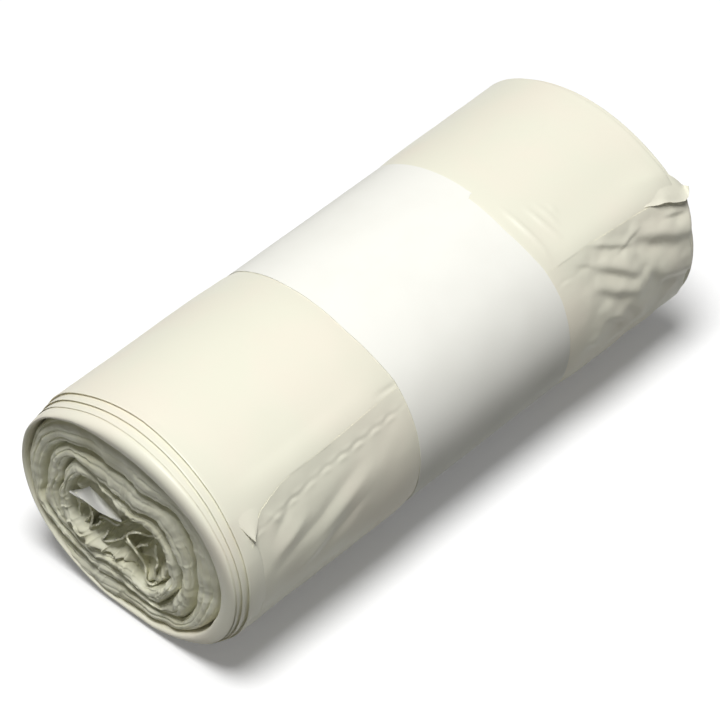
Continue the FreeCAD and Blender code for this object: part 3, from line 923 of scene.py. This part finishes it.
def paper_rule(u, v):
    """u goes across the band and v round the roll, from the upper end to the hidden one."""
    turned = LAP_START + (LAP_END - LAP_START) * v
    upper = 1 - smoothstep(18, 25, turned)
    lift = -0.42 + 0.02 * upper - 0.14 * smoothstep(357.2, 359.5, turned)
    angle = np.where(turned > 356.8, np.minimum(turned - 360, 20), turned)
    measured = np.where(turned < 0, LAP_EDGE, angle)
    left_edge = table_value(measured, BAND_LEFT)
    right_edge = table_value(measured, BAND_RIGHT)
    hidden = smoothstep(357.0, 358.5, turned)
    right_edge = right_edge * (1 - hidden) + HIDDEN_RIGHT * hidden
    x = left_edge + (right_edge - left_edge) * u
    rough = 0.05 * unevenness(x / 9 + 4, turned / 15, 611, 24) * np.sin(math.pi * u)
    rough = rough * smoothstep(25, 40, turned) * smoothstep(356, 345, turned)
    y, z = oval(turned, lift + rough)
    return x, y, np.maximum(z, -lift)


paper_band = make_sheet("paper_sleeve", 60, 420, paper_rule)
report(paper_band)


def turn_outwards(sheet, middle):
    """Makes an open sheet's faces point away from a middle point, before it is thickened."""
    total = 0.0
    for face in sheet.data.polygons:
        total += face.normal.dot(face.center - middle)
    if total < 0:
        edit_all(sheet)
        bpy.ops.mesh.flip_normals()
        bpy.ops.object.mode_set(mode="OBJECT")


INSIDE, BELOW_TONGUE = Vector((0, 0, 27 * MM)), Vector((0, 0, 22 * MM))
for sheet, middle, thickness in (
    (paper_band, INSIDE, PAPER_THICKNESS), (near_pleat, INSIDE, PLEAT_THICKNESS),
    (far_flap, INSIDE, FLAP_THICKNESS), (tongue, BELOW_TONGUE, TONGUE_THICKNESS),
):
    turn_outwards(sheet, middle)
    thicken(sheet, thickness)
for sheet in (paper_band, near_pleat, far_flap, tongue):
    shade_smooth(sheet)
    report(sheet)

# %% [markdown]
# ## Materials
# The film is thin polyethylene, ivory and silky, with a soft gloss and faint warm patches
# where more layers lie on each other. The paper is plain, white and dull with a fine tooth.
# The patchiness is one node group that each material uses with its own values. The wound
# turns and the ribbons get a darker, more olive copy of the film, which is painted shade.

# %% A node group for patches and fine relief
def add_node(tree, kind, **values):
    """Adds a node and sets the named properties on it."""
    node = tree.nodes.new(kind)
    for name, value in values.items():
        setattr(node, name, value)
    return node


patches = bpy.data.node_groups.new("patches_and_relief", "ShaderNodeTree")
for name, kind, direction in (
    ("Colour", "NodeSocketColor", "INPUT"), ("Patch Colour", "NodeSocketColor", "INPUT"),
    ("Patch Scale", "NodeSocketFloat", "INPUT"), ("Relief Scale", "NodeSocketFloat", "INPUT"),
    ("Colour", "NodeSocketColor", "OUTPUT"), ("Mask", "NodeSocketFloat", "OUTPUT"),
    ("Height", "NodeSocketFloat", "OUTPUT"),
):
    patches.interface.new_socket(name=name, in_out=direction, socket_type=kind)
inside = add_node(patches, "NodeGroupInput")
outside = add_node(patches, "NodeGroupOutput")
place_node = add_node(patches, "ShaderNodeTexCoord")
cloud = add_node(patches, "ShaderNodeTexNoise")
cloud.inputs["Detail"].default_value = 2.0
spread = add_node(patches, "ShaderNodeMapRange")
spread.inputs["From Min"].default_value = 0.42
spread.inputs["From Max"].default_value = 0.68
blend = add_node(patches, "ShaderNodeMix", data_type="RGBA")
grain = add_node(patches, "ShaderNodeTexNoise")
grain.inputs["Detail"].default_value = 3.0
links = patches.links
links.new(place_node.outputs["Object"], cloud.inputs["Vector"])
links.new(place_node.outputs["Object"], grain.inputs["Vector"])
links.new(inside.outputs["Patch Scale"], cloud.inputs["Scale"])
links.new(inside.outputs["Relief Scale"], grain.inputs["Scale"])
links.new(cloud.outputs["Fac"], spread.inputs["Value"])
links.new(spread.outputs["Result"], blend.inputs["Factor"])
links.new(inside.outputs["Colour"], blend.inputs["A"])
links.new(inside.outputs["Patch Colour"], blend.inputs["B"])
links.new(blend.outputs["Result"], outside.inputs["Colour"])
links.new(spread.outputs["Result"], outside.inputs["Mask"])
links.new(grain.outputs["Fac"], outside.inputs["Height"])


def make_material(name, colour, patch_colour, patch_scale, relief_scale, roughness, relief):
    """A material with patches of a second colour; relief is the bump's strength and height."""
    material = bpy.data.materials.new(name)
    material.use_nodes = True
    tree = material.node_tree
    shader = tree.nodes["Principled BSDF"]
    shader.inputs["Specular IOR Level"].default_value = 0.3
    group = add_node(tree, "ShaderNodeGroup", node_tree=patches)
    group.inputs["Colour"].default_value = (*colour, 1)
    group.inputs["Patch Colour"].default_value = (*patch_colour, 1)
    group.inputs["Patch Scale"].default_value = patch_scale
    group.inputs["Relief Scale"].default_value = relief_scale
    rough = add_node(tree, "ShaderNodeMapRange")
    rough.inputs["To Min"].default_value = roughness[0]
    rough.inputs["To Max"].default_value = roughness[1]
    bump = add_node(tree, "ShaderNodeBump")
    bump.inputs["Strength"].default_value = relief[0]
    bump.inputs["Distance"].default_value = relief[1] * MM
    tree.links.new(group.outputs["Colour"], shader.inputs["Base Color"])
    tree.links.new(group.outputs["Mask"], rough.inputs["Value"])
    tree.links.new(rough.outputs["Result"], shader.inputs["Roughness"])
    tree.links.new(group.outputs["Height"], bump.inputs["Height"])
    tree.links.new(bump.outputs["Normal"], shader.inputs["Normal"])
    return material


# %% The film in three colours, one a darker copy that paints shade on the ends, and the paper
film_smooth = make_material(
    "film_smooth", colour=(0.90, 0.885, 0.735), patch_colour=(0.92, 0.875, 0.735),
    patch_scale=55, relief_scale=900, roughness=(0.36, 0.48), relief=(0.25, 0.05))
# darker and more olive than the outer film, with darker patches: painted shade for the turns and
# hollows
film_turns_painted_shade = make_material(
    "film_turns_painted_shade", colour=(0.85, 0.845, 0.68), patch_colour=(0.78, 0.765, 0.58),
    patch_scale=120, relief_scale=700, roughness=(0.45, 0.6), relief=(0.4, 0.12))
film_white = make_material(
    "film_white", colour=(0.76, 0.76, 0.72), patch_colour=(0.70, 0.70, 0.64),
    patch_scale=200, relief_scale=700, roughness=(0.4, 0.5), relief=(0.3, 0.08))
paper = make_material(
    "paper", colour=(0.985, 0.98, 0.912), patch_colour=(0.965, 0.96, 0.89),
    patch_scale=90, relief_scale=2600, roughness=(0.75, 0.85), relief=(0.35, 0.05))
print("materials:", [look.name for look in (film_smooth, film_turns_painted_shade, film_white, paper)])

# %% Give each piece its material and its body, and hide the plain solids it replaces
FILM_PIECES = [
    (film_skin, film_smooth), (loose_end, film_smooth), (near_pleat, film_smooth),
    (far_flap, film_smooth), (turns_near, film_turns_painted_shade), (turns_far, film_turns_painted_shade),
    (tongue, film_white),
] + [(ribbon, film_turns_painted_shade) for ribbon in ribbons]
for piece, material in FILM_PIECES:
    piece.data.materials.clear()
    piece.data.materials.append(material)
    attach(piece, "root")
    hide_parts("bag_roll")
paper_band.data.materials.clear()
paper_band.data.materials.append(paper)
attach(paper_band, "root")
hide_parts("paper_band")
print(len(FILM_PIECES), "pieces of film and one of paper")

# %% [markdown]
# ## Light and floor
# One large soft lamp hangs above, towards the near end, so the top is bright and the sides
# fall off gently. A pale world fills the shadows. The floor is pale grey to the light that
# bounces off it, and nearly white to the camera and in reflections, and it keeps the shadow.

# %% Lamp
LAMP_POWER = 21.2
LAMP_PLACE = Vector((-0.24, -0.105, 1.475))
deselect_all()
bpy.ops.object.light_add(type="AREA", location=LAMP_PLACE)
lamp = bpy.context.object
lamp.name = "lamp"
lamp.data.shape = "DISK"
lamp.data.size = 0.7
lamp.data.energy = LAMP_POWER
lamp.rotation_euler = (LAMP_PLACE - Vector((0, 0, 0.02))).to_track_quat("Z", "Y").to_euler()
print("lamp:", LAMP_POWER, "W,", lamp.data.size, "m wide")

# %% World
WORLD_LEVEL = 0.1


def seen_or_mirrored(tree):
    """1 for what the eye sees straight, through glass or in gloss, 0 for bounced light."""
    path_kind = add_node(tree, "ShaderNodeLightPath")
    seen = path_kind.outputs["Is Camera Ray"]
    for ray in ("Is Transmission Ray", "Is Glossy Ray"):
        either = add_node(tree, "ShaderNodeMath", operation="MAXIMUM")
        tree.links.new(seen, either.inputs[0])
        tree.links.new(path_kind.outputs[ray], either.inputs[1])
        seen = either.outputs[0]
    return seen


world = bpy.data.worlds.new("pale_room")
bpy.context.scene.world = world
world.use_nodes = True
tree = world.node_tree
tree.nodes.clear()
level = add_node(tree, "ShaderNodeMapRange")
level.inputs["To Min"].default_value = WORLD_LEVEL
level.inputs["To Max"].default_value = 1.0
sky = add_node(tree, "ShaderNodeBackground")
sky_out = add_node(tree, "ShaderNodeOutputWorld")
tree.links.new(seen_or_mirrored(tree), level.inputs["Value"])
tree.links.new(level.outputs["Result"], sky.inputs["Strength"])
tree.links.new(sky.outputs[0], sky_out.inputs[0])
print("the world lights the roll at", WORLD_LEVEL, "and is seen at full strength")

# %% Floor
FLOOR_BOUNCE = (0.22, 0.22, 0.21, 1)  # what light bounces off
FLOOR_SEEN = (0.97, 0.97, 0.97, 1)
FLOOR_GLOW = 0.14  # lifts what is seen of it to white, but keeps the shadow
deselect_all()
bpy.ops.mesh.primitive_plane_add(size=4)
floor = bpy.context.object
floor.name = "floor"
floor_look = bpy.data.materials.new("pale_floor")
floor_look.use_nodes = True
tree = floor_look.node_tree
shader = tree.nodes["Principled BSDF"]
shader.inputs["Roughness"].default_value = 0.9
shader.inputs["Specular IOR Level"].default_value = 0.1
shader.inputs["Emission Color"].default_value = (1, 1, 1, 1)
seen = seen_or_mirrored(tree)
shade = add_node(tree, "ShaderNodeMix", data_type="RGBA")
shade.inputs["A"].default_value = FLOOR_BOUNCE
shade.inputs["B"].default_value = FLOOR_SEEN
glow = add_node(tree, "ShaderNodeMath", operation="MULTIPLY")
glow.inputs[1].default_value = FLOOR_GLOW
tree.links.new(seen, shade.inputs["Factor"])
tree.links.new(seen, glow.inputs[0])
tree.links.new(shade.outputs["Result"], shader.inputs["Base Color"])
tree.links.new(glow.outputs[0], shader.inputs["Emission Strength"])
floor.data.materials.append(floor_look)

bpy.context.scene.view_settings.view_transform = "Standard"
print("floor laid, seen at", FLOOR_SEEN[0], "and bouncing", FLOOR_BOUNCE[0])
